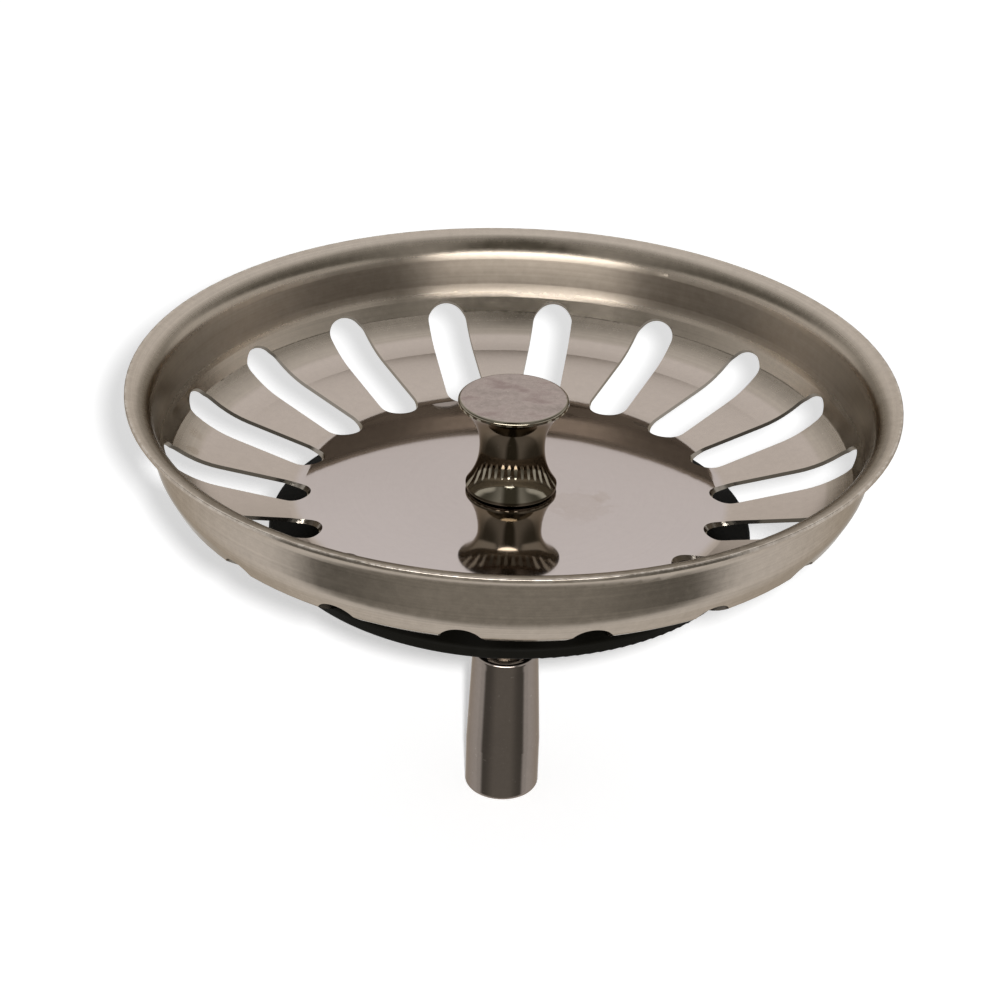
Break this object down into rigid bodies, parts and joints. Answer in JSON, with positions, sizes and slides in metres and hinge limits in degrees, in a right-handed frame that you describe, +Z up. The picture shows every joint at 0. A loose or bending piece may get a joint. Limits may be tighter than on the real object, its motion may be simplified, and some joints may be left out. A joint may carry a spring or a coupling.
{
  "type": "sink strainer",
  "caption": "Pressed steel basket strainer for a kitchen sink drain, with radial slots, a spool-shaped pull knob, a black rubber seal and a flared stem tip.",
  "frame": {"origin": "on the strainer's axis at the bottom of the stem tip", "axes": "+Z up along the stem, from the drain towards the knob; -Y towards the viewer of the picture and +X to the right"},
  "size_m": [0.08, 0.08, 0.0497],
  "materials": {
    "basket_steel": "satin brushed sheet, mirror polished on the centre disc",
    "knob_nickel": "polished nickel plate, satin on the top",
    "seal_rubber": "matt moulded rubber",
    "fastener_steel": "plain zinc-bright steel",
    "tip_nickel": "polished nickel plate"
  },
  "bodies": {
    "basket": {"strainer_basket": "basket_steel", "rubber_seal": "seal_rubber", "seal_washer": "fastener_steel"},
    "spindle": {"pull_knob": "knob_nickel", "threaded_rod": "fastener_steel", "clamp_nut": "fastener_steel", "stem_tip": "tip_nickel"}
  },
  "joints": [
    {"name": "spindle_turn", "type": "hinge", "parent": "basket", "child": "spindle", "pos_m": [0, 0, 0.0372], "axis": [0, 0, 1], "continuous": true}
  ]
}
